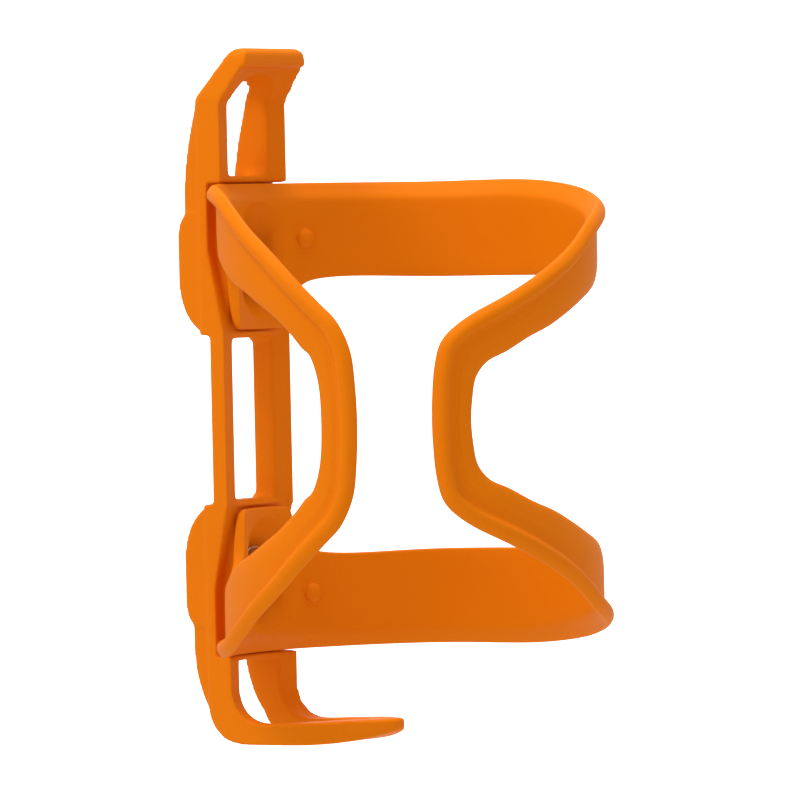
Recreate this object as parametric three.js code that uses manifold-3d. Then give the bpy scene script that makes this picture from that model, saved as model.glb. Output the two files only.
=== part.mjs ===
// A side-entry bottle cage for a bicycle, in millimetres.
// +X points from the frame tube to the bottle, +Z runs up the tube, and +Y is the closed side of the hoop.
// The origin lies on the tube, midway between the two frame bolts.
import * as THREE from 'three';
import { ParametricGeometry } from 'three/addons/geometries/ParametricGeometry.js';
import { mergeVertices } from 'three/addons/utils/BufferGeometryUtils.js';
import Module from 'manifold-3d';

const wasm = await Module();
wasm.setup();

// Driving dimensions.
const BOLT_SPACING = 64;
const BOTTLE_AXIS_X = 50;
const GAP = 0.3; // between the spine and the hoop
const SEAT_GAP = 0.1; // under each washer and bolt head

// The band's wall, and the bead along its outer edge: a ridge between an inner and an outer slope.
const HOOP = { inner: 37, wall: 39.6, bead: 41.3, thinEdge: 38.2, crown: 4.5 };
const BEAD = { ridgeInner: 39.4, ridgeOuter: 40.2, innerSlope: 3.3, outerSlope: 1.7, foot: 2.5, fillet: 3.3 };
const CUP = { height: 33.3, floorX: 9, bossX: 6.8, length: 22, width: 11, wall: 1.6 };
const SLOT = { width: 5.6, length: 9 };
const STUD = { angle: 21, height: 37.5, radius: 2.4, proud: 1.2, shank: 1.5, clearance: 0.2 };

const RAIL = { inner: 7.8, outer: 12.4, rearX: 5.4, frontX: 12, cornerRadius: 1.2, slantX: 8.5 };
const SPINE_FRONT_RADIUS = 40.3;
const HEAD = {
  kneeZ: 66.5, kneeX: 11, topZ: 77.7, rearX: 14.6, frontX: 17.6, halfWidth: 10.9, cornerRadius: 2.4,
};
const HOOK = {
  bottomZ: -68, topZ: -64, tipX: 46.2, tipTopZ: -62.9, tipThickness: 2.6,
  bendX: 10.8, bendRadius: 7.5, forkEndX: 38,
};
const FIN = { inner: 7.8, outer: 11.1, rearX: 1.7, startZ: 42, curveZ: 49, topZ: 66.5, bottomZ: -61.5 };
const PAD = { halfWidth: 11.4, lowZ: 17.9, flatLowZ: 28, flatHighZ: 38.2, highZ: 43.4, frontX: 11 };
const SEAT = { lowZ: 18.4, highZ: 49.5, rimLowZ: 45.8, shallowX: 11.5, deepX: 8, slopeEndZ: 36 };
const WINDOW = { middleZ: 17.3, topLowZ: 50.8, topHighZ: 72, bottomZ: -50.8, corner: 2 };

const BOLT = { radius: 2.5, length: 16, headRadius: 4.75, headHeight: 2.75, socket: 3, socketDepth: 1.6 };
const WASHER = { outer: 5, inner: 2.75, thickness: 1 };
const BOLT_HOLE_RADIUS = 2.75;
const ROUND = 24; // sides of a small round piece

const plastic = () => new THREE.MeshStandardMaterial({ color: 0xe87000, roughness: 0.5, metalness: 0 });
const steel = () => new THREE.MeshStandardMaterial({ color: 0xb9bbbd, roughness: 0.3, metalness: 1 });

// Joins and cuts work on solids, which are closed meshes with shared corners.
function solid(geometry) {
  const bare = geometry.clone();
  bare.deleteAttribute('normal');
  bare.deleteAttribute('uv');
  const merged = mergeVertices(bare, 1e-4);
  const vertProperties = new Float32Array(merged.attributes.position.array);
  const triVerts = new Uint32Array(merged.index.array);
  return new wasm.Manifold(new wasm.Mesh({ numProp: 3, vertProperties, triVerts }));
}

function geometryOf(body) {
  const mesh = body.getMesh();
  const geometry = new THREE.BufferGeometry();
  geometry.setAttribute('position', new THREE.BufferAttribute(mesh.vertProperties, 3));
  geometry.setIndex(new THREE.BufferAttribute(mesh.triVerts, 1));
  return geometry;
}

function outline(points) {
  return new THREE.Shape(points.map(([a, b]) => new THREE.Vector2(a, b)));
}

const prism = (shape, depth) =>
  new THREE.ExtrudeGeometry(shape, { depth, bevelEnabled: false, curveSegments: 6 });

// A side view drawn in X and Z, as thick as the stretch of Y that it is given.
function sideView(shape, fromY, toY) {
  return solid(prism(shape, toY - fromY).rotateX(Math.PI / 2).translate(0, toY, 0));
}

// A plan drawn in X and Y, from one height to another.
function plan(shape, fromZ, toZ) {
  return solid(prism(shape, toZ - fromZ).translate(0, 0, fromZ));
}

// A front view drawn in Y and Z, from one depth to another.
const yzx = new THREE.Matrix4().makeBasis(
  new THREE.Vector3(0, 1, 0), new THREE.Vector3(0, 0, 1), new THREE.Vector3(1, 0, 0));
function frontView(shape, fromX, toX) {
  return solid(prism(shape, toX - fromX).applyMatrix4(yzx).translate(fromX, 0, 0));
}

function roundedBox(halfWidth, lowZ, highZ, radius) {
  const shape = new THREE.Shape();
  shape.moveTo(-halfWidth + radius, lowZ);
  shape.absarc(halfWidth - radius, lowZ + radius, radius, -Math.PI / 2, 0);
  shape.absarc(halfWidth - radius, highZ - radius, radius, 0, Math.PI / 2);
  shape.absarc(-halfWidth + radius, highZ - radius, radius, Math.PI / 2, Math.PI);
  shape.absarc(-halfWidth + radius, lowZ + radius, radius, Math.PI, 1.5 * Math.PI);
  return shape;
}

const slotShape = (width, length, z) =>
  roundedBox(width / 2, z - length / 2, z + length / 2, width / 2 - 0.01);

function bottleCylinder(radius, lowZ, highZ) {
  const cylinder = new THREE.CylinderGeometry(radius, radius, highZ - lowZ, 96);
  cylinder.rotateX(Math.PI / 2).translate(BOTTLE_AXIS_X, 0, (lowZ + highZ) / 2);
  return solid(cylinder);
}

// A turned piece: its profile gives [radius, distance along X].
function turned(profile, x, y, z) {
  const lathe = new THREE.LatheGeometry(profile.map(([r, a]) => new THREE.Vector2(r, a)), ROUND);
  return solid(lathe.rotateZ(-Math.PI / 2).translate(x, y, z));
}

// ---- side_entry_hoop -------------------------------------------------------------------------
// One band bent round the bottle and closed on itself. Each row pairs a point of the band's outer
// edge with the point of its inner edge across from it: angle round the bottle, height, angle, height.
// The rows cover the upper half. The lower half is its mirror image.
const HOOP_EDGES = [
  [-50.8, 0, -38.3, 0], // front strip, beside the gap
  [-50.6, 5, -37.7, 5],
  [-49.7, 11.5, -36.4, 9],
  [-47.5, 16.5, -32.6, 12],
  [-40.5, 20.8, -26, 13.9], // front strip, rising to the upper band
  [-27, 25.6, -17, 16.8],
  [-16, 29.4, -8, 18.9],
  [-1, 34.9, 2, 21.6],
  [13, 40.6, 13, 24.5],
  [30, 43.8, 28, 26.8],
  [46, 45.7, 44, 28.3],
  [60, 47.5, 60, 28.9], // upper band, round the closed side
  [83, 49.2, 84, 29],
  [115, 49.2, 115, 29.1],
  [150, 49.2, 150, 29.4],
  [158, 49.2, 160, 27.8], // tongue over the spine
  [164, 49.2, 165.5, 23],
  [169, 49.2, 167.5, 19.4],
  [174, 49.2, 172, 19],
  [187, 49.2, 189.5, 19],
  [192, 49.2, 194, 19.4],
  [197, 49.2, 195.5, 23],
  [202, 49.2, 197, 29],
  [208, 49.2, 203, 32.5],
  [215, 49.2, 211, 34.2], // open side, falling to the gap
  [223, 48.7, 222, 32.8],
  [232, 47, 233, 29.4],
  [241, 43.4, 242, 27.6],
  [249, 39.6, 250, 25],
  [258, 35.3, 257, 22.4],
  [269.3, 28.8, 264.1, 18.9],
  [276.3, 24.4, 268.1, 15.9],
  [281.4, 20.8, 270.6, 14.1],
  [285.4, 14.9, 272.7, 11],
  [286.6, 8.5, 274, 7],
  [287.1, 0, 274.5, 0],
];

const degrees = Math.PI / 180;
const hoopEdge = (column) => {
  const upper = HOOP_EDGES.map((row) => [row[column] * degrees * HOOP.wall, row[column + 1]]);
  const lower = upper.slice(1, -1).reverse().map(([along, height]) => [along, -height]);
  const points = [...upper, ...lower].map(([along, height]) => new THREE.Vector3(along, height, 0));
  return new THREE.CatmullRomCurve3(points, true, 'centripetal');
};

// The band's section, from the inner edge to the outer edge and back: [radius, step in from that edge].
const HOOP_SECTION = [
  [HOOP.inner, 'inner', 0],
  [HOOP.inner, 'outer', BEAD.innerSlope],
  [BEAD.ridgeInner, 'outer', 0],
  [BEAD.ridgeOuter, 'outer', 0],
  [HOOP.bead, 'outer', BEAD.outerSlope],
  [HOOP.bead, 'outer', BEAD.foot],
  [HOOP.wall, 'outer', BEAD.fillet],
  [HOOP.wall, 'inner', HOOP.crown],
  [HOOP.thinEdge, 'inner', 0.2],
];

function hoopBand() {
  const outer = hoopEdge(0);
  const inner = hoopEdge(2);
  const stations = 2 * outer.points.length;
  const ring = (u, v, target) => {
    const t = (Math.round((1 - u) * stations) % stations) / stations;
    const [radius, edge, inset] = HOOP_SECTION[Math.round(v * HOOP_SECTION.length) % HOOP_SECTION.length];
    const point = edge === 'outer' ? outer.getPoint(t) : inner.getPoint(t);
    if (edge === 'outer') {
      const along = outer.getTangent(t);
      point.add(new THREE.Vector3(along.y, -along.x, 0).multiplyScalar(inset));
    } else {
      point.add(outer.getPoint(t).sub(point).setLength(inset));
    }
    const angle = point.x / HOOP.wall;
    target.set(BOTTLE_AXIS_X + radius * Math.cos(angle), radius * Math.sin(angle), point.y);
  };
  return solid(new ParametricGeometry(ring, stations, HOOP_SECTION.length));
}

function sideEntryHoop() {
  let hoop = hoopBand();
  for (const side of [1, -1]) {
    const z = side * CUP.height;
    const boss = slotShape(CUP.width + 2 * CUP.wall, CUP.length + 2 * CUP.wall, z);
    const boltSlot = slotShape(SLOT.width, SLOT.length, side * BOLT_SPACING / 2);
    hoop = hoop
      .add(frontView(boss, CUP.bossX, BOTTLE_AXIS_X - HOOP.wall + 1.4))
      .subtract(frontView(slotShape(CUP.width, CUP.length, z), CUP.floorX, BOTTLE_AXIS_X - HOOP.inner + 3))
      .subtract(frontView(boltSlot, 0, BOTTLE_AXIS_X / 2));
  }
  for (const { place } of studs()) {
    const holeRadius = STUD.shank + STUD.clearance;
    const hole = new THREE.CylinderGeometry(holeRadius, holeRadius, 12, ROUND);
    hoop = hoop.subtract(solid(hole.rotateZ(Math.PI / 2).applyMatrix4(place)));
  }
  return geometryOf(hoop);
}

// ---- grip studs ------------------------------------------------------------------------------
// Domed studs pressed flush through the band from the bottle side, two on each side of the spine.
function studs() {
  const list = [];
  for (const [level, up] of [['upper', 1], ['lower', -1]]) {
    for (const [side, turn] of [['far', 1], ['near', -1]]) {
      const angle = Math.PI - turn * STUD.angle * degrees;
      const place = new THREE.Matrix4().makeRotationZ(angle - Math.PI);
      place.setPosition(
        BOTTLE_AXIS_X + HOOP.inner * Math.cos(angle), HOOP.inner * Math.sin(angle), up * STUD.height);
      list.push({ name: `${level}_${side}_grip_stud`, place });
    }
  }
  return list;
}

function gripStud() {
  const foot = SEAT_GAP + 0.2;
  const profile = [[0, HOOP.inner - HOOP.wall], [STUD.shank, HOOP.inner - HOOP.wall]];
  profile.push([STUD.shank, foot], [STUD.radius, foot]);
  for (const k of [1, 2, 3, 4]) {
    const a = (k / 5) * (Math.PI / 2);
    profile.push([STUD.radius * Math.cos(a), foot + STUD.proud * Math.sin(a)]);
  }
  profile.push([0, foot + STUD.proud]);
  return turned(profile, 0, 0, 0);
}

// ---- back_spine ------------------------------------------------------------------------------
function spineSide() {
  const shape = new THREE.Shape();
  shape.moveTo(RAIL.rearX - 0.2, HEAD.kneeZ);
  shape.lineTo(RAIL.rearX, -59.5);
  shape.bezierCurveTo(RAIL.rearX + 1, -64, 7.5, HOOK.bottomZ, 15, HOOK.bottomZ);
  shape.lineTo(26, HOOK.bottomZ);
  shape.quadraticCurveTo(38, HOOK.bottomZ, HOOK.tipX - 1, HOOK.tipTopZ - HOOK.tipThickness);
  shape.quadraticCurveTo(HOOK.tipX + 0.2, HOOK.tipTopZ - 1.2, HOOK.tipX - 0.4, HOOK.tipTopZ);
  shape.lineTo(HOOK.bendX + HOOK.bendRadius + 2, HOOK.topZ);
  shape.quadraticCurveTo(HOOK.bendX + 0.6, HOOK.topZ, HOOK.bendX, HOOK.topZ + HOOK.bendRadius);
  shape.lineTo(RAIL.frontX, HOOK.topZ + HOOK.bendRadius);
  shape.lineTo(RAIL.frontX, HEAD.kneeZ);
  shape.lineTo(HEAD.kneeX, HEAD.kneeZ);
  shape.quadraticCurveTo(12.9, HEAD.kneeZ + 3.2, HEAD.frontX - 1, HEAD.topZ - 3.6);
  shape.quadraticCurveTo(HEAD.frontX + 0.4, HEAD.topZ - 2.6, HEAD.frontX, HEAD.topZ - 1);
  shape.quadraticCurveTo(HEAD.frontX - 0.5, HEAD.topZ, HEAD.rearX, HEAD.topZ);
  return shape;
}

function spinePlan() {
  const { outer, rearX, cornerRadius } = RAIL;
  const shape = new THREE.Shape();
  shape.moveTo(rearX, -outer + cornerRadius);
  shape.quadraticCurveTo(rearX, -outer, rearX + cornerRadius, -outer);
  shape.lineTo(18, -outer);
  shape.bezierCurveTo(28, -outer + 0.5, 38, -6, HOOK.tipX - 1.2, -2.2);
  shape.quadraticCurveTo(HOOK.tipX + 1.2, 0, HOOK.tipX - 1.2, 2.2);
  shape.bezierCurveTo(38, 6, 28, outer - 0.5, 18, outer);
  shape.lineTo(rearX + cornerRadius, outer);
  shape.quadraticCurveTo(rearX, outer, rearX, outer - cornerRadius);
  return shape;
}

function spineFront() {
  const shape = new THREE.Shape();
  const { halfWidth, cornerRadius, topZ, kneeZ } = HEAD;
  shape.moveTo(-RAIL.outer, HOOK.bottomZ - 1);
  shape.lineTo(RAIL.outer, HOOK.bottomZ - 1);
  shape.lineTo(RAIL.outer, kneeZ);
  shape.lineTo(halfWidth, topZ - cornerRadius);
  shape.quadraticCurveTo(halfWidth, topZ, halfWidth - cornerRadius, topZ);
  shape.lineTo(-halfWidth + cornerRadius, topZ);
  shape.quadraticCurveTo(-halfWidth, topZ, -halfWidth, topZ - cornerRadius);
  shape.lineTo(-RAIL.outer, kneeZ);
  return shape;
}

function forkPlan() {
  const shape = new THREE.Shape();
  shape.moveTo(-5, -RAIL.inner);
  shape.lineTo(14, -RAIL.inner);
  shape.bezierCurveTo(22, -RAIL.inner + 0.3, 30, -3.4, HOOK.forkEndX, -0.6);
  shape.lineTo(HOOK.forkEndX, 0.6);
  shape.bezierCurveTo(30, 3.4, 22, RAIL.inner - 0.3, 14, RAIL.inner);
  shape.lineTo(-5, RAIL.inner);
  return shape;
}

function finSide(sign) {
  const shape = new THREE.Shape();
  const [endX, end] = sign > 0 ? [RAIL.rearX - 0.2, FIN.topZ] : [RAIL.rearX + 0.6, -FIN.bottomZ];
  shape.moveTo(FIN.rearX, sign * FIN.startZ);
  shape.lineTo(FIN.rearX, sign * FIN.curveZ);
  shape.quadraticCurveTo(FIN.rearX + 0.1, sign * (FIN.curveZ + 7.5), endX, sign * end);
  shape.lineTo(RAIL.rearX + 2, sign * end);
  shape.lineTo(RAIL.rearX + 2, sign * FIN.startZ);
  return shape;
}

function padSide(sign) {
  const shape = new THREE.Shape();
  const { lowZ, flatLowZ, flatHighZ, highZ, frontX } = PAD;
  shape.moveTo(frontX, sign * lowZ);
  shape.lineTo(RAIL.rearX + 1, sign * lowZ);
  shape.bezierCurveTo(3.2, sign * (lowZ + 0.9), 0, sign * (flatLowZ - 4.4), 0, sign * flatLowZ);
  shape.lineTo(0, sign * flatHighZ);
  shape.bezierCurveTo(0, sign * (flatHighZ + 2), 1, sign * (highZ - 1), FIN.rearX + 0.5, sign * highZ);
  shape.lineTo(frontX, sign * highZ);
  return shape;
}

// What the hoop's tongue needs clear of the spine: the saddle, its rim, its boss and the rails beside it.
function seatCut(sign) {
  const levels = (a, b) => (sign > 0 ? [a, b] : [-b, -a]);
  const saddle = bottleCylinder(HOOP.wall + GAP, ...levels(SEAT.lowZ, SEAT.highZ))
    .add(bottleCylinder(HOOP.bead + GAP, ...levels(SEAT.rimLowZ, SEAT.highZ)));
  const boss = slotShape(
    CUP.width + 2 * CUP.wall + 2 * GAP, CUP.length + 2 * CUP.wall + 2 * GAP, sign * CUP.height);
  const relief = outline([
    [SEAT.shallowX, sign * SEAT.lowZ], [SEAT.deepX, sign * SEAT.slopeEndZ], [SEAT.deepX, sign * SEAT.highZ],
    [20, sign * SEAT.highZ], [20, sign * SEAT.lowZ],
  ]);
  return saddle
    .add(frontView(boss, CUP.bossX - GAP, 20))
    .add(sideView(relief, RAIL.inner + 1.2, 20))
    .add(sideView(relief, -20, -RAIL.inner - 1.2));
}

function backSpine() {
  const { inner } = RAIL;
  let spine = sideView(spineSide(), -20, 20)
    .intersect(plan(spinePlan(), -80, 90))
    .intersect(frontView(spineFront(), -5, 60))
    .subtract(bottleCylinder(SPINE_FRONT_RADIUS, HOOK.topZ + HOOK.bendRadius, HEAD.kneeZ));
  for (const sign of [1, -1]) {
    spine = spine.add(sideView(padSide(sign), -PAD.halfWidth, PAD.halfWidth))
      .add(sideView(finSide(sign), FIN.inner, FIN.outer))
      .add(sideView(finSide(sign), -FIN.outer, -FIN.inner));
  }
  const slant = [[RAIL.rearX - 0.5, inner - 0.8], [RAIL.slantX, RAIL.outer], [RAIL.rearX - 0.5, RAIL.outer]];
  const mirrored = slant.map(([x, y]) => [x, -y]).reverse();
  for (const corner of [slant, mirrored]) {
    spine = spine.subtract(plan(outline(corner), -PAD.lowZ, PAD.lowZ));
  }
  const topWindow = roundedBox(inner, WINDOW.topLowZ, WINDOW.topHighZ, inner - 1.5);
  const topWindowFoot = roundedBox(inner, WINDOW.topLowZ, WINDOW.topHighZ - inner, WINDOW.corner);
  spine = spine
    .subtract(frontView(roundedBox(inner, -WINDOW.middleZ, WINDOW.middleZ, WINDOW.corner), -5, 20))
    .subtract(frontView(topWindow, -5, 30).add(frontView(topWindowFoot, -5, 30)))
    .subtract(plan(forkPlan(), -80, WINDOW.bottomZ));
  for (const sign of [1, -1]) {
    const hole = new THREE.CylinderGeometry(BOLT_HOLE_RADIUS, BOLT_HOLE_RADIUS, 30, ROUND);
    spine = spine.subtract(seatCut(sign))
      .subtract(solid(hole.rotateZ(Math.PI / 2).translate(0, 0, sign * BOLT_SPACING / 2)));
  }
  return geometryOf(spine);
}

// ---- frame bolts and washers -----------------------------------------------------------------
function mountingBolt(z) {
  const underHead = CUP.floorX + WASHER.thickness + 2 * SEAT_GAP;
  const { radius, length, headRadius, headHeight, socket, socketDepth } = BOLT;
  const profile = [
    [0, -length], [radius - 0.8, -length], [radius, -length + 0.8], [radius, 0], [headRadius, 0],
    [headRadius, 0.5], [headRadius - 0.9, headHeight - 0.8], [headRadius - 2, headHeight], [0, headHeight],
  ];
  const corner = socket / Math.sqrt(3);
  const hexagon = new THREE.CylinderGeometry(corner, corner, 2 * socketDepth, 6);
  hexagon.rotateZ(Math.PI / 2).translate(underHead + headHeight, 0, z);
  return geometryOf(turned(profile, underHead, 0, z).subtract(solid(hexagon)));
}

function washer(z) {
  const { inner, outer, thickness } = WASHER;
  const profile = [[inner, 0], [outer, 0], [outer, thickness], [inner, thickness], [inner, 0]];
  return geometryOf(turned(profile, CUP.floorX + SEAT_GAP, 0, z));
}

// ---- the cage --------------------------------------------------------------------------------
const cage = new THREE.Group();

function addPiece(name, geometry, material) {
  const mesh = new THREE.Mesh(geometry, material);
  mesh.name = name;
  cage.add(mesh);
  return mesh;
}

addPiece('back_spine', backSpine(), plastic());
addPiece('side_entry_hoop', sideEntryHoop(), plastic());
for (const [level, sign] of [['upper', 1], ['lower', -1]]) {
  addPiece(`${level}_mounting_bolt`, mountingBolt(sign * BOLT_SPACING / 2), steel());
  addPiece(`${level}_washer`, washer(sign * BOLT_SPACING / 2), steel());
}
for (const { name, place } of studs()) {
  addPiece(name, geometryOf(gripStud()), plastic()).applyMatrix4(place);
}

export default cage;
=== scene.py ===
import math

import bmesh
import bpy
from mathutils import Matrix, Vector


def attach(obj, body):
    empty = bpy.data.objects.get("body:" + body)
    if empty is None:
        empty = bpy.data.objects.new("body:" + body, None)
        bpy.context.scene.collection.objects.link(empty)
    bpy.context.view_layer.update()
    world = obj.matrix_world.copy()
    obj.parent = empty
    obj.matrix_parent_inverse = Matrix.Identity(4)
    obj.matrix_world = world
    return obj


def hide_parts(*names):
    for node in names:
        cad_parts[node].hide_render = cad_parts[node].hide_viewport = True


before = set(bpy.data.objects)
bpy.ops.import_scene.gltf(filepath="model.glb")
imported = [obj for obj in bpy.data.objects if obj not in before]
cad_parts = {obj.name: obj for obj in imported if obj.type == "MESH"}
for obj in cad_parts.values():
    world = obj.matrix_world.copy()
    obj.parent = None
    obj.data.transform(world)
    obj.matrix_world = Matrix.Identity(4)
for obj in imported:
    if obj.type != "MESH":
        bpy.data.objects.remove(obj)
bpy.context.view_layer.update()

# ---- The side-entry hoop ----------------------------------------------------------------------
# One band of satin nylon, moulded bent round the bottle and closed on itself. A bead runs along its
# outer edge and its inner edge is thinned. It is the same upside down, so it can open on either side.
MM = 0.001
BOTTLE_X = 50
BORE, WALL, BEAD = 37.0, 39.6, 41.3

# Each row pairs a point of the band's outer edge with the point of its inner edge across from it:
# angle round the bottle, height, angle, height. The lower half mirrors the upper.
BAND_EDGES = [
    (-50.8, 0, -38.3, 0),  # front strip, beside the gap
    (-50.6, 5, -37.7, 5),
    (-49.7, 11.5, -36.4, 9),
    (-47.5, 16.5, -32.6, 12),
    (-40.5, 20.8, -26, 13.9),  # front strip, rising to the upper band
    (-27, 25.4, -17, 16.8),
    (-16, 29.2, -8, 18.9),
    (-1, 34.7, 2, 21.6),
    (13, 40.4, 13, 24.2),
    (30, 43.8, 28, 26.5),
    (46, 45.8, 44, 28.2),
    (60, 47.5, 60, 28.9),  # upper band, round the closed side
    (83, 49.2, 84, 29),
    (115, 49.2, 115, 29.1),
    (150, 49.4, 150, 29.4),
    (158, 49.4, 160, 27.8),  # tongue over the spine
    (164, 49.4, 165.5, 23),
    (169, 49.4, 167.5, 19.4),
    (174, 49.4, 172, 19),
    (187, 49.4, 189.5, 19),
    (192, 49.4, 194, 19.4),
    (197, 49.4, 195.5, 23),
    (202, 49.4, 197, 29),
    (208, 49.2, 203, 32.5),
    (215, 49.2, 211, 34.2),  # open side, falling to the gap
    (223, 48.8, 222, 32.8),
    (232, 47.3, 233, 29.3),
    (241, 43.8, 242, 27.1),
    (249, 39.9, 250, 24.5),
    (258, 35.5, 257, 21.9),
    (269.2, 28.7, 264, 18.2),
    (276.2, 24.3, 267.8, 15.5),
    (281.3, 20.8, 270.5, 14.1),
    (285.3, 14.9, 272.6, 11),
    (286.5, 8.5, 273.9, 7),
    (287, 0, 274.4, 0),
]
STEPS_PER_ROW = 4
LOOK_ALONG = 0.05  # rows to either side, for the direction of the edge
SQUARE_TO_EDGE = 9  # the section stands square to the outer edge at first, and over this far turns across
MOST_INSET = 0.62  # of the band's width, for what is measured from the outer edge

# Band and tongue part at this row. The wall keeps its full thickness there, instead of the thin edge.
FORK_ROW, FORK_REACH, FORK_FILL, THIN_EDGE_RADIUS = 24, 3, 0.8, 38


def closed_edge(column):
    """The points of one edge, right round, as distance along the wall and height."""
    upper = [Vector((math.radians(row[column]) * WALL, row[column + 1])) for row in BAND_EDGES]
    return upper + [Vector((p.x, -p.y)) for p in reversed(upper[1:-1])]


def along(points, t):
    """The place t rows along the smooth curve through the points (centripetal Catmull-Rom)."""
    near = [points[(math.floor(t) + k) % len(points)] for k in (-1, 0, 1, 2)]
    knots = [0.0]
    for a, b in zip(near, near[1:]):
        knots.append(knots[-1] + math.sqrt((b - a).length))
    at = knots[1] + (t % 1) * (knots[2] - knots[1])

    def mix(a, b, i, j):
        return a.lerp(b, (at - knots[i]) / (knots[j] - knots[i]))

    first = [mix(near[k], near[k + 1], k, k + 1) for k in range(3)]
    second = [mix(first[0], first[1], 0, 2), mix(first[1], first[2], 1, 3)]
    return mix(second[0], second[1], 1, 2)


# The band's section, from the bore round the bead and back over the wall to the thin edge:
# radius, which edge it is measured from, and the distance in from that edge.
BAND_SECTION = [
    (37.0, "inner", 0.9), (37.0, "outer", 9.0), (37.0, "outer", 4.4), (37.15, "outer", 3.3),
    (37.7, "outer", 2.4), (39.3, "outer", 0.25), (39.6, "outer", -0.05), (40.0, "outer", -0.15),
    (40.5, "outer", 0.1), (41.3, "outer", 1.1), (41.5, "outer", 1.8), (41.45, "outer", 2.7),
    (41.0, "outer", 3.3), (40.1, "outer", 3.7), (39.7, "outer", 4.0), (39.6, "outer", 4.4),
    (39.6, "outer", 5.4), (39.6, "outer", 9.0), (39.6, "inner", 5.0), (39.5, "inner", 3.4),
    (39.25, "inner", 2.0), (38.95, "inner", 0.9), (38.5, "inner", 0.0), (37.7, "inner", -0.2),
    (37.15, "inner", 0.1),
]


def roll_up_band():
    """A flat sheet, rolled in one direction into the section and in the other round the bottle."""
    outer, inner = closed_edge(0), closed_edge(2)
    stations, rows_round = STEPS_PER_ROW * len(outer), len(outer)
    sheet = bmesh.new()
    bmesh.ops.create_grid(sheet, x_segments=stations, y_segments=len(BAND_SECTION), size=0.5)
    for vert in sheet.verts:
        t = (round((vert.co.x + 0.5) * stations) % stations) / STEPS_PER_ROW
        row = round((vert.co.y + 0.5) * len(BAND_SECTION)) % len(BAND_SECTION)
        radius, edge, inset = BAND_SECTION[row]
        here, across = along(outer, t), along(inner, t)
        width = (across - here).length
        if edge == "outer":
            ahead = (along(outer, t + LOOK_ALONG) - along(outer, t - LOOK_ALONG)).normalized()
            square = Vector((ahead.y, -ahead.x))
            inwards = square.lerp((across - here) / width, min(inset / SQUARE_TO_EDGE, 1))
            place = here + inwards.normalized() * min(inset, MOST_INSET * width)
        else:
            place = across + (here - across) * (inset / width)
        if edge == "inner" and radius > THIN_EDGE_RADIUS:
            fork = math.exp(-((min(t, rows_round - t) - FORK_ROW) / FORK_REACH) ** 2)
            radius += (WALL - radius) * FORK_FILL * fork
        angle = place.x / WALL
        vert.co = Vector((BOTTLE_X + radius * math.cos(angle), radius * math.sin(angle), place.y)) * MM
    bmesh.ops.remove_doubles(sheet, verts=sheet.verts, dist=1e-7)
    bmesh.ops.recalc_face_normals(sheet, faces=sheet.faces)
    return sheet


def piece_from(made, name):
    """An object of this name that holds the finished bmesh."""
    mesh = bpy.data.meshes.new(name)
    made.to_mesh(mesh)
    made.free()
    piece = bpy.data.objects.new(name, mesh)
    bpy.context.scene.collection.objects.link(piece)
    return piece


def shaped_by(piece, tool, operation):
    """Joins the tool to the piece, cuts it away, or keeps what both fill."""
    step = piece.modifiers.new(tool.name, "BOOLEAN")
    step.object, step.operation, step.solver = tool, operation, "EXACT"
    return tool


def settle(piece, tools=()):
    """Turns the piece's modifiers into its mesh, and puts the tools away."""
    bpy.context.view_layer.update()
    rough = piece.data
    settled = piece.evaluated_get(bpy.context.evaluated_depsgraph_get())
    piece.data = bpy.data.meshes.new_from_object(settled)
    piece.modifiers.clear()
    bpy.data.meshes.remove(rough)
    for tool in tools:
        bpy.data.meshes.remove(tool.data)
    piece.data.name = piece.name


RAMP_DEPTH = 3.5


def obround(name, z, profile, half_straight, ramp=0):
    """A solid with straight sides and round ends, lying along Z, through (distance, radius) steps in X.
    A ramp draws both ends in, most of all at the deepest step."""
    made = bmesh.new()
    bmesh.ops.create_circle(made, segments=56, radius=1, matrix=Matrix.Rotation(math.pi / 56, 4, "Z"))
    loop, ring = list(made.edges), list(made.verts)
    ends = [(v.co.copy(), half_straight if v.co.y > 0 else -half_straight) for v in ring]
    for level, (x, radius) in enumerate(profile):
        if level:
            grown = bmesh.ops.extrude_edge_only(made, edges=loop)["geom"]
            loop = [g for g in grown if isinstance(g, bmesh.types.BMEdge)]
            ring = [g for g in grown if isinstance(g, bmesh.types.BMVert)]
            loop = [e for e in loop if all(v in ring for v in e.verts)]
        for vert, (unit, shift) in zip(ring, ends):
            depth = max(0, 1 - (x - profile[0][0]) / RAMP_DEPTH)
            drawn_in = ramp * depth * math.copysign(1, shift)
            vert.co = Vector((x, unit.x * radius, z + unit.y * radius + shift - drawn_in)) * MM
    bmesh.ops.holes_fill(made, edges=made.edges)
    bmesh.ops.recalc_face_normals(made, faces=made.faces)
    return piece_from(made, name)


# Behind the band stand two bosses, each with a cup for a bolt head and a slot in the cup's floor.
CUP_Z, CUP_HALF_STRAIGHT, CUP_RAMP = 33.3, 5.5, 4.3
CUP_RADIUS, CUP_WALL, CUP_FLOOR_X, CUP_BACK_X = 5.5, 1.6, 9.0, 6.8
BOSS_RADIUS = CUP_RADIUS + CUP_WALL
BOLT_Z, SLOT_HALF_STRAIGHT = 32, 1.7
boss_steps = [
    (CUP_BACK_X, BOSS_RADIUS - 0.8), (CUP_BACK_X + 0.25, BOSS_RADIUS - 0.25), (CUP_BACK_X + 0.8, BOSS_RADIUS),
    (BOTTLE_X - WALL + 1.2, BOSS_RADIUS),
]
cup_steps = [
    (CUP_FLOOR_X, CUP_RADIUS - 0.7), (CUP_FLOOR_X + 0.2, CUP_RADIUS - 0.3),
    (CUP_FLOOR_X + 0.6, CUP_RADIUS - 0.1), (11.6, CUP_RADIUS + 0.3),
    (12.4, CUP_RADIUS + 0.65), (13.0, CUP_RADIUS + 1.4), (16, CUP_RADIUS + 6),
]
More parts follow.
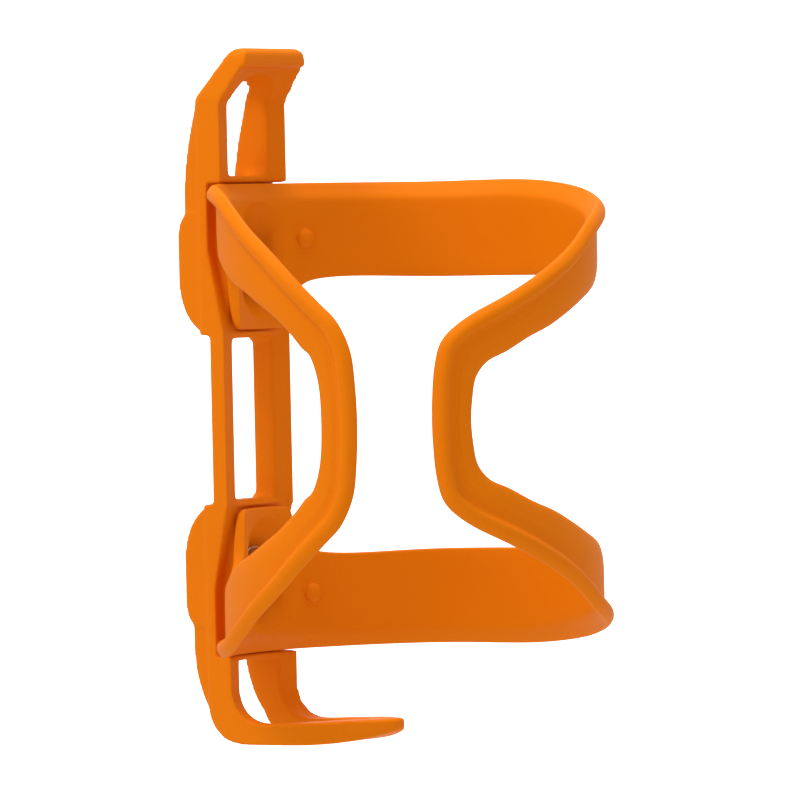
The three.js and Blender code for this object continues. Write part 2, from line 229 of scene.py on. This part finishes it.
slot_steps = [
    (CUP_BACK_X - 1, 3.0), (CUP_BACK_X + 0.4, 2.8), (CUP_FLOOR_X - 0.3, 2.8), (CUP_FLOOR_X + 0.2, 3.3),
]
hoop = piece_from(roll_up_band(), "side_entry_hoop_skin")
smooth = hoop.modifiers.new("smooth", "SUBSURF")
smooth.levels = smooth.render_levels = 1
cup_tools = []
for side in (1, -1):
    boss = obround("boss", side * CUP_Z, boss_steps, CUP_HALF_STRAIGHT)
    cup = obround("cup", side * CUP_Z, cup_steps, CUP_HALF_STRAIGHT, CUP_RAMP)
    slot = obround("slot", side * BOLT_Z, slot_steps, SLOT_HALF_STRAIGHT)
    cup_tools += [
        shaped_by(hoop, boss, "UNION"),
        shaped_by(hoop, cup, "DIFFERENCE"),
        shaped_by(hoop, slot, "DIFFERENCE"),
    ]
settle(hoop, cup_tools)
hoop.data.shade_smooth()
hoop.data.set_sharp_from_angle(angle=math.radians(32))


class Shade:
    """A shader socket that works in Python sums. make() adds any other node to the same tree."""

    def __init__(self, tree, socket=None):
        self.tree, self.socket = tree, socket

    def make(self, kind, settings=None, **inputs):
        node = self.tree.nodes.new("ShaderNode" + kind)
        for key, value in (settings or {}).items():
            if key == "stops":
                ramp = node.color_ramp
                for stop, (at, grey) in zip((ramp.elements[0], ramp.elements[1]), value):
                    stop.position, stop.color = at, (grey, grey, grey, 1)
            else:
                setattr(node, key, value)
        for key, value in inputs.items():
            socket = node.inputs[int(key[1:])] if key[1:].isdigit() else node.inputs[key.replace("_", " ")]
            if isinstance(value, Shade):
                self.tree.links.new(value.socket, socket)
            else:
                socket.default_value = value
        return node

    def of(self, node, output=0):
        return Shade(self.tree, node.outputs[output])

    def sum(self, operation, a, b):
        return self.of(self.make("Math", {"operation": operation}, _0=a, _1=b))

    def __add__(self, other):
        return self.sum("ADD", self, other)

    def __sub__(self, other):
        return self.sum("SUBTRACT", self, other)

    def __rsub__(self, other):
        return self.sum("SUBTRACT", other, self)

    def __mul__(self, other):
        return self.sum("MULTIPLY", self, other)

    __radd__, __rmul__ = __add__, __mul__


def moulded_nylon(name, colour, seed):
    """Through-coloured nylon: spark-eroded grain, faint flow marks, and edges polished by handling."""
    material = bpy.data.materials.new(name)
    material.use_nodes = True
    tree = material.node_tree
    tree.nodes.clear()
    s = Shade(tree)
    place = s.of(s.make("TexCoord"), "Object")
    shifted = s.of(s.make("Mapping", _0=place, Location=(seed, 0, 0)))
    grain = s.of(s.make("TexNoise", Vector=shifted, Scale=2600, Detail=3, Roughness=0.6))
    pits = s.of(s.make("TexVoronoi", Vector=shifted, Scale=1500))
    flow = s.of(s.make("TexNoise", Vector=shifted, Scale=38, Detail=2, Distortion=0.6))
    edges = s.of(s.make("ValToRGB", {"stops": ((0.53, 0), (0.6, 1))},
                        Fac=s.of(s.make("NewGeometry"), "Pointiness")))
    deep, worn = [c * 0.94 for c in colour], [min(1, c * 1.1 + 0.003) for c in colour]
    body = s.of(s.make("Mix", {"data_type": "RGBA"}, Factor=flow, _6=(*deep, 1), _7=(*colour, 1)), 2)
    tint = s.of(s.make("Mix", {"data_type": "RGBA"}, Factor=edges * 0.5, _6=body, _7=(*worn, 1)), 2)
    height = grain * 0.6 + pits * 0.4
    bump = s.of(s.make("Bump", Strength=0.16, Distance=0.00006, Height=height))
    satin = 0.44 + grain * 0.12 - edges * 0.16
    shader = s.make("BsdfPrincipled", Base_Color=tint, Roughness=satin, Normal=bump, IOR=1.4)
    shader.inputs["Specular IOR Level"].default_value = 0.07
    s.make("OutputMaterial", Surface=s.of(shader))
    return material


ORANGE = (0.785, 0.184, 0.001)


def finished(piece, node, material):
    """Gives the piece its material, hangs it on the root body and hides the imported part it stands in for.
    """
    piece.data.materials.clear()
    piece.data.materials.append(material)
    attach(piece, "root")
    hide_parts(node)


finished(hoop, "side_entry_hoop", moulded_nylon("hoop_nylon", ORANGE, 0.0))

# ---- The back spine ---------------------------------------------------------------------------
# One moulding of the same nylon: two rails joined by the leaning head, by a pad behind each bolt seat
# and by the forked hook that the bottle stands on. Curved fins stiffen the rails behind head and hook.
RAIL_BACK, RAIL_SIDE = 5.4, 12.4
PAD_SIDE, FIN_INNER, FIN_OUTER = 11.4, 7.3, 11.1


def bend(start, pull, end, steps=6):
    """Points of a smooth turn from start to end, drawn towards pull, without the start."""
    a, b, c = Vector(start), Vector(pull), Vector(end)
    shares = [k / steps for k in range(1, steps + 1)]
    return [a.lerp(b, t).lerp(b.lerp(c, t), t).to_tuple() for t in shares]


def block(name, outline, across, low, high):
    """An outline in two of the axes, as deep as low to high in the third one, `across`."""
    made = bmesh.new()
    first, second = [axis for axis in "xyz" if axis != across]
    verts = []
    for a, b in outline:
        vert = made.verts.new()
        setattr(vert.co, first, a * MM)
        setattr(vert.co, second, b * MM)
        setattr(vert.co, across, low * MM)
        verts.append(vert)
    face = made.faces.new(verts)
    grown = bmesh.ops.extrude_face_region(made, geom=[face])["geom"]
    reach = Vector((0, 0, 0))
    setattr(reach, across, (high - low) * MM)
    bmesh.ops.translate(made, vec=reach, verts=[g for g in grown if isinstance(g, bmesh.types.BMVert)])
    bmesh.ops.recalc_face_normals(made, faces=made.faces)
    return piece_from(made, name)


def round_bar(name, radius, low, high, z=0, across="z", sides=256):
    """A cylinder from low to high: along Z round the bottle's axis, or along X at height z."""
    made = bmesh.new()
    turn = Matrix.Rotation(math.pi / 2, 4, "Y") if across == "x" else Matrix()
    middle = (low + high) / 2
    centre = Vector((middle, 0, z)) if across == "x" else Vector((BOTTLE_X, 0, middle))
    bmesh.ops.create_cone(made, cap_ends=True, segments=sides, radius1=radius * MM, radius2=radius * MM,
                          depth=(high - low) * MM, matrix=Matrix.Translation(centre * MM) @ turn)
    return piece_from(made, name)


def turned(name, profile, axis="x", steps=48):
    """Spins a (radius, distance along the axis) profile into a solid round the X or Z axis."""
    made = bmesh.new()
    if axis == "x":
        direction, places = (1, 0, 0), [(along_axis, radius, 0) for radius, along_axis in profile]
    else:
        direction, places = (0, 0, 1), [(radius, 0, along_axis) for radius, along_axis in profile]
    verts = [made.verts.new(Vector(place) * MM) for place in places]
    edges = [made.edges.new(pair) for pair in zip(verts, verts[1:])]
    bmesh.ops.spin(made, geom=verts + edges, cent=(0, 0, 0), axis=direction, angle=2 * math.pi, steps=steps,
                   use_merge=True)
    bmesh.ops.remove_doubles(made, verts=made.verts, dist=1e-7)
    bmesh.ops.recalc_face_normals(made, faces=made.faces)
    return piece_from(made, name)


def rounded(half_width, low, high, radius, top_radius=None):
    """A rectangle with round corners, in Y and Z."""
    top = radius if top_radius is None else top_radius
    right, left = half_width, -half_width
    low_left = [(left, low + radius)] + bend((left, low + radius), (left, low), (left + radius, low))
    low_right = [(right - radius, low)] + bend((right - radius, low), (right, low), (right, low + radius))
    top_right = [(right, high - top)] + bend((right, high - top), (right, high), (right - top, high))
    top_left = [(left + top, high)] + bend((left + top, high), (left, high), (left, high - top))
    return low_left + low_right + top_right + top_left


# Its outline from the side, with the bottle's room cut out of it: up the back of the rails, and round
# the hook and the head.
side_view = [(4.8, 66.6), (RAIL_BACK, -59.5)]
side_view += bend((RAIL_BACK, -59.5), (6.6, -68.1), (15, -68.1), 10)
side_view += [(26, -68.1)] + bend((26, -68.1), (38, -68.1), (45.4, -65.3), 8)
side_view += bend((45.4, -65.3), (46.8, -64), (45.6, -62), 5)
side_view += [(40, -62), (17, -62), (17, 73.9), (17.9, 74.3), (17.9, 76.1)]
side_view += bend((17.9, 76.1), (17.7, 77.8), (15.8, 77.8), 6)
side_view += bend((15.8, 77.8), (14.4, 77.8), (13.6, 77.1), 3)

bottle_side = [(0, -62.7), (16, -63.2), (31.5, -64)] + bend((31.5, -64), (39.9, -64.3), (40.3, -56), 10)
bottle_side += [(40.3, 66.3)] + bend((40.3, 66.3), (38, 69.6), (35, 73.9), 8) + [(0, 73.9)]

# From above: the rails' outer faces, running together at the hook's point.
near_half = [(RAIL_BACK - 0.3, -11.4)] + bend((RAIL_BACK, -11.4), (RAIL_BACK, -RAIL_SIDE), (6.4, -RAIL_SIDE))
near_half += [(18, -RAIL_SIDE)] + bend((18, -RAIL_SIDE), (34, -11.8), (44.8, -2.6), 12)
point = bend((44.8, -2.6), (47.4, 0), (44.8, 2.6), 8)
far_half = bend((44.8, 2.6), (34, 11.8), (18, RAIL_SIDE), 12) + [(6.4, RAIL_SIDE)]
far_half += bend((6.4, RAIL_SIDE), (RAIL_BACK, RAIL_SIDE), (RAIL_BACK, 11.4))[:-1] + [(RAIL_BACK - 0.3, 11.4)]
plan_view = near_half + point + far_half

# From the front: straight rails and a head that narrows a little.
front_view = [(-12.5, -70), (12.5, -70), (12.5, 66.5), (11.3, 75.5)]
front_view += bend((11.3, 75.5), (11, 77.9), (8.6, 77.9)) + [(-8.6, 77.9)]
front_view += bend((-8.6, 77.9), (-11, 77.9), (-11.3, 75.5)) + [(-12.5, 66.5)]

spine = block("back_spine_skin", side_view, "y", -20, 20)
bottle_room = turned("bottle_room", bottle_side, "z", 192)
bottle_room.data.transform(Matrix.Translation(Vector((BOTTLE_X, 0, 0)) * MM))
spine_tools = [
    shaped_by(spine, block("plan", plan_view, "z", -80, 90), "INTERSECT"),
    shaped_by(spine, block("front", front_view, "x", -5, 60), "INTERSECT"),
    shaped_by(spine, bottle_room, "DIFFERENCE"),
]
for side in (1, -1):
    foot, top = side * 17.8, side * 43.6
    pad = [(11, foot), (6.6, foot)] + bend((6.6, foot), (0.9, side * 20.2), (-0.1, side * 28), 10)
    pad += [(-0.1, side * 38.6)] + bend((-0.1, side * 38.6), (0, side * 42.4), (2.4, top)) + [(11, top)]
    spine_tools.append(shaped_by(spine, block("pad", pad, "y", -PAD_SIDE, PAD_SIDE), "UNION"))
    end = (4.9, 66.6) if side > 0 else (5.6, -61.8)
    fin = [(1.5, side * 41), (1.5, side * 48)] + bend((1.5, side * 48), (1.7, side * 56), end, 10)
    fin += [(7.6, end[1]), (7.6, side * 41)]
    for low, high in ((FIN_INNER, FIN_OUTER), (-FIN_OUTER, -FIN_INNER)):
        spine_tools.append(shaped_by(spine, block("fin", fin, "y", low, high), "UNION"))

# Windows between the rails. The top one ends in an arch that leans as the head does, and the bottom
# one is the fork of the hook.
ARCH_FOOT_Z, ARCH_LEAN, ARCH_LEAN_X = 60, 0.3, 11
middle_window = block("middle_window", rounded(7.5, -17.1, 17.1, 2.2), "x", -5, 20)
top_window = block("top_window", rounded(7.55, 51.1, 64, 2.2, 0.1), "x", -5, 30)
top_arch = block("top_arch", rounded(7.55, ARCH_FOOT_Z, 71.8, 0.1, 7.1), "x", -5, 30)
for vert in top_arch.data.vertices:
    if vert.co.z > (ARCH_FOOT_Z + 0.5) * MM:
        vert.co.z += ARCH_LEAN * (vert.co.x - ARCH_LEAN_X * MM)
near_prong = [(12, -7.6)] + bend((12, -7.6), (25, -7.3), (37.5, -0.8), 12)
far_prong = [(x, -y) for x, y in reversed(near_prong)]
fork_outline = [(-5, -7.6)] + near_prong + [(37.9, 0)] + far_prong + [(-5, 7.6)]
fork = block("fork", fork_outline, "z", -80, -50.8)
spine_tools += [shaped_by(spine, tool, "DIFFERENCE") for tool in (middle_window, top_window, top_arch, fork)]

# Seats: the hoop's tongue lies in a round saddle, and its bosses in two pockets with the bolt holes.
SEAT_LOW, SEAT_HIGH, RIM_LOW, SEAT_GAP = 18.4, 49.8, 45.4, 0.3
RELIEF_SIDE, POCKET_RADIUS, BOLT_HOLE_RADIUS = 9.0, 7.4, 2.75
for side in (1, -1):
    slant = [(4.9, side * 7), (8.3, side * 12.4), (8.5, side * 13), (4.9, side * 13)]
    cuts = [block("slant", slant, "z", -17.9, 17.9)]
    foot, top = side * SEAT_LOW, side * SEAT_HIGH
    relief = [(11.5, foot), (8, side * 36), (8, top), (20, top), (20, foot)]
    for low, high in ((RELIEF_SIDE, 20), (-20, -RELIEF_SIDE)):
        cuts.append(block("relief", relief, "y", low, high))
    cuts += [
        round_bar("saddle", WALL + SEAT_GAP, *sorted((foot, top))),
        round_bar("rim_seat", BEAD + SEAT_GAP, *sorted((side * RIM_LOW, top))),
        obround("pocket", side * CUP_Z, [(CUP_BACK_X - SEAT_GAP, POCKET_RADIUS), (20, POCKET_RADIUS)],
                CUP_HALF_STRAIGHT),
        round_bar("bolt_hole", BOLT_HOLE_RADIUS, -5, 20, side * BOLT_Z, "x", 48),
    ]
    spine_tools += [shaped_by(spine, cut, "DIFFERENCE") for cut in cuts]
settle(spine, spine_tools)

# One skin over it all, with every edge eased as a moulding's is.
SKIN_STEP, EASING, REGAINED = 0.4, 5, 0.1
skin = spine.modifiers.new("skin", "REMESH")
skin.mode, skin.voxel_size, skin.use_smooth_shade = "VOXEL", SKIN_STEP * MM, True
soften = spine.modifiers.new("soften", "SMOOTH")
soften.factor, soften.iterations = 0.5, EASING
regain = spine.modifiers.new("regain", "DISPLACE")
regain.strength, regain.mid_level = REGAINED * MM, 0
settle(spine)
spine.data.shade_smooth()
finished(spine, "back_spine", moulded_nylon("spine_nylon", ORANGE, 0.31))

# ---- The grip studs ---------------------------------------------------------------------------
# Four small domed studs, pressed flush through the band from the bottle side, beside the spine. Each
# dome stands on a thin round foot.
STUD_ANGLE, STUD_Z, STUD_RADIUS, STUD_PROUD = 21, 37.6, 2.7, 1.5
SHANK_RADIUS, SHANK_LENGTH, DOME_RADIUS, FOOT_HEIGHT = 1.5, 2.7, 2.1, 0.35
stud_steps = [(0, -SHANK_LENGTH), (1.4, -SHANK_LENGTH), (SHANK_RADIUS, -2.6), (SHANK_RADIUS, 0.02)]
stud_steps += [(STUD_RADIUS, 0.02), (STUD_RADIUS, 0.05), (DOME_RADIUS + 0.3, 0.1), (DOME_RADIUS + 0.08, 0.2)]
for degrees in range(0, 90, 9):
    slope = math.radians(degrees)
    height = FOOT_HEIGHT + (STUD_PROUD - FOOT_HEIGHT) * math.sin(slope)
    stud_steps.append((DOME_RADIUS * math.cos(slope), height))
stud_steps.append((0, STUD_PROUD))
stud_nylon = moulded_nylon("stud_nylon", ORANGE, 0.73)
for level, up in (("upper", 1), ("lower", -1)):
    for side, turn in (("far", 1), ("near", -1)):
        stud = turned(f"{level}_{side}_grip_stud_skin", stud_steps)
        angle = math.pi - turn * math.radians(STUD_ANGLE)
        seat = Vector((BOTTLE_X + BORE * math.cos(angle), BORE * math.sin(angle), up * STUD_Z)) * MM
        stud.data.transform(Matrix.Translation(seat) @ Matrix.Rotation(angle - math.pi, 4, "Z"))
        stud.data.shade_smooth()
        stud.data.set_sharp_from_angle(angle=math.radians(35))
        finished(stud, f"{level}_{side}_grip_stud", stud_nylon)

# ---- The frame bolts and washers --------------------------------------------------------------
# Two stainless M5 button-head bolts, 16 mm long, each on a flat washer in the bottom of its cup. They
# run through the spine into the threaded bosses of the frame tube.


def stainless(name, roughness):
    """Bright stainless steel with fine turning marks and faint smears."""
    material = bpy.data.materials.new(name)
    material.use_nodes = True
    tree = material.node_tree
    tree.nodes.clear()
    s = Shade(tree)
    place = s.of(s.make("TexCoord"), "Object")
    smears = s.of(s.make("TexNoise", Vector=place, Scale=420, Detail=4))
    fine = s.of(s.make("TexNoise", Vector=place, Scale=5200, Detail=2))
    dull, bright = (0.5, 0.5, 0.51, 1), (0.66, 0.66, 0.65, 1)
    tone = s.of(s.make("Mix", {"data_type": "RGBA"}, Factor=smears, _6=dull, _7=bright), 2)
    bump = s.of(s.make("Bump", Strength=0.12, Distance=0.00003, Height=fine))
    polish = roughness + smears * 0.16
    shader = s.make("BsdfPrincipled", Base_Color=tone, Metallic=1.0, Roughness=polish, Normal=bump)
    s.make("OutputMaterial", Surface=s.of(shader))
    return material


THREAD_RADIUS, THREAD_PITCH, THREAD_DEPTH, THREAD_END, BOLT_LENGTH = 2.5, 0.8, 0.43, -1.6, 16
HEAD_RADIUS, HEAD_RIM, HEAD_HEIGHT = 4.75, 0.6, 2.75
SOCKET_RADIUS, SOCKET_DEPTH = 1.73, 1.7
bolt_steps = [(0, -BOLT_LENGTH), (1.7, -BOLT_LENGTH)]
groove = -BOLT_LENGTH + 0.5
while groove < THREAD_END:
    bolt_steps += [(THREAD_RADIUS - THREAD_DEPTH, groove)]
    bolt_steps += [(THREAD_RADIUS, groove + 0.35), (THREAD_RADIUS, groove + 0.45)]
    groove += THREAD_PITCH
bolt_steps += [(THREAD_RADIUS - THREAD_DEPTH, -1.0), (2.45, -0.5), (THREAD_RADIUS, 0)]
bolt_steps += [(HEAD_RADIUS - 0.15, 0), (HEAD_RADIUS, 0.15), (HEAD_RADIUS, HEAD_RIM)]
for degrees in range(11, 88, 11):
    slope = math.radians(degrees)
    rise = (HEAD_HEIGHT - HEAD_RIM) * math.sin(slope)
    bolt_steps.append((HEAD_RADIUS - 2.5 * (1 - math.cos(slope)), HEAD_RIM + rise))
bolt_steps += [(2.1, HEAD_HEIGHT), (0, HEAD_HEIGHT)]
washer_steps = [(2.75, 0.1), (2.85, 0), (4.85, 0), (5, 0.15), (5, 0.85), (4.85, 1), (2.85, 1), (2.75, 0.9)]
washer_steps.append(washer_steps[0])
bolt_steel, washer_steel = stainless("bolt_stainless", 0.2), stainless("washer_stainless", 0.28)
for level, up in (("upper", 1), ("lower", -1)):
    bolt = turned(f"{level}_mounting_bolt_skin", bolt_steps)
    hexagon = bmesh.new()
    bmesh.ops.create_cone(
        hexagon, cap_ends=True, segments=6, radius1=SOCKET_RADIUS * MM, radius2=SOCKET_RADIUS * MM,
        depth=2 * SOCKET_DEPTH * MM,
        matrix=Matrix.Translation((HEAD_HEIGHT * MM, 0, 0)) @ Matrix.Rotation(math.pi / 2, 4, "Y"))
    socket = piece_from(hexagon, "socket")
    shaped_by(bolt, socket, "DIFFERENCE")
    settle(bolt, [socket])
    bolt.data.transform(Matrix.Translation(Vector((CUP_FLOOR_X + 1.2, 0, up * BOLT_Z)) * MM))
    bolt.data.shade_smooth()
    bolt.data.set_sharp_from_angle(angle=math.radians(30))
    finished(bolt, f"{level}_mounting_bolt", bolt_steel)

    washer = turned(f"{level}_washer_skin", washer_steps)
    washer.data.transform(Matrix.Translation(Vector((CUP_FLOOR_X + 0.1, 0, up * BOLT_Z)) * MM))
    washer.data.shade_smooth()
    washer.data.set_sharp_from_angle(angle=math.radians(30))
    finished(washer, f"{level}_washer", washer_steel)

# ---- The studio -------------------------------------------------------------------------------
# A pale floor well below the cage, a white panel far behind it, soft lights, and the camera.
VIEW_AZIMUTH, VIEW_ELEVATION, VIEW_ROLL = 33, 1.55, 1.24
azimuth, elevation = math.radians(VIEW_AZIMUTH), math.radians(VIEW_ELEVATION)
right = Vector((math.cos(azimuth), math.sin(azimuth), 0))
level_back = Vector((math.sin(azimuth), -math.cos(azimuth), 0))
back = level_back * math.cos(elevation) + Vector((0, 0, math.sin(elevation)))
up = back.cross(right)
hoop_middle = Vector((BOTTLE_X, 0, 0)) * MM


def paper(name, grey, glow):
    """Pale paper that glows a little, so that it stays white with little light on it."""
    material = bpy.data.materials.new(name)
    material.use_nodes = True
    shader = material.node_tree.nodes["Principled BSDF"]
    shader.inputs["Base Color"].default_value = (grey, grey, grey, 1)
    shader.inputs["Roughness"].default_value = 0.9
    shader.inputs["Emission Color"].default_value = (1, 1, 1, 1)
    shader.inputs["Emission Strength"].default_value = glow
    return material


FLOOR_Z, FLOOR_RADIUS = -0.3, 3
floor_shape = bmesh.new()
bmesh.ops.create_circle(floor_shape, cap_ends=True, segments=96, radius=FLOOR_RADIUS,
                        matrix=Matrix.Translation((0, 0, FLOOR_Z)))
floor = piece_from(floor_shape, "floor")
floor.data.materials.append(paper("floor_paper", 0.7, 0.05))

PANEL_HALF_WIDTH, PANEL_BEHIND = 0.55, 1.8
panel_shape = bmesh.new()
corners = [hoop_middle - back * PANEL_BEHIND + right * a * PANEL_HALF_WIDTH + up * b * PANEL_HALF_WIDTH
           for a, b in ((-1, -0.45), (1, -0.45), (1, 1), (-1, 1))]
panel_shape.faces.new([panel_shape.verts.new(corner) for corner in corners])
panel = piece_from(panel_shape, "white_panel")
panel.data.materials.append(paper("white_paper", 0.8, 1.1))


def soft_light(name, from_right, from_up, from_back, size, power):
    """A square soft box, placed as seen from the camera and turned to the cage."""
    light = bpy.data.lights.new(name, "AREA")
    light.shape, light.size, light.energy = "SQUARE", size, power
    lamp = bpy.data.objects.new(name, light)
    bpy.context.scene.collection.objects.link(lamp)
    lamp.location = hoop_middle + right * from_right + up * from_up + back * from_back
    lamp.rotation_mode = "QUATERNION"
    lamp.rotation_quaternion = (lamp.location - hoop_middle).to_track_quat("Z", "Y")


soft_light("key", -0.6, 0.95, 0.5, 0.4, 5.2)
soft_light("top", 0.0, 1.2, -0.1, 0.6, 9)
soft_light("fill", -1.1, 0.1, 0.5, 0.7, 1.2)

ROOM_LIGHT = 0.74
world = bpy.data.worlds.new("soft_room")
world.use_nodes = True
walls = world.node_tree.nodes["Background"]
walls.inputs["Color"].default_value = (1, 1, 1, 1)
walls.inputs["Strength"].default_value = ROOM_LIGHT
bpy.context.scene.world = world
bpy.context.scene.view_settings.view_transform = "Standard"

VIEW_DISTANCE, LENS = 1.5, 324.2
AIM_RIGHT, AIM_UP = -2.27, 3.63
camera_data = bpy.data.cameras.new("camera")
camera_data.lens, camera_data.sensor_width = LENS, 36
camera = bpy.data.objects.new("camera", camera_data)
bpy.context.scene.collection.objects.link(camera)
camera.location = hoop_middle + back * VIEW_DISTANCE
lean = math.radians(-VIEW_ROLL)
image_right = right * math.cos(lean) + up * math.sin(lean)
image_up = up * math.cos(lean) - right * math.sin(lean)
aim = hoop_middle + (image_right * AIM_RIGHT + image_up * AIM_UP) * MM
look_back = (camera.location - aim).normalized()
look_right = image_up.cross(look_back).normalized()
look_up = look_back.cross(look_right)
camera.rotation_mode = "QUATERNION"
camera.rotation_quaternion = Matrix((look_right, look_up, look_back)).transposed().to_quaternion()
bpy.context.scene.camera = camera
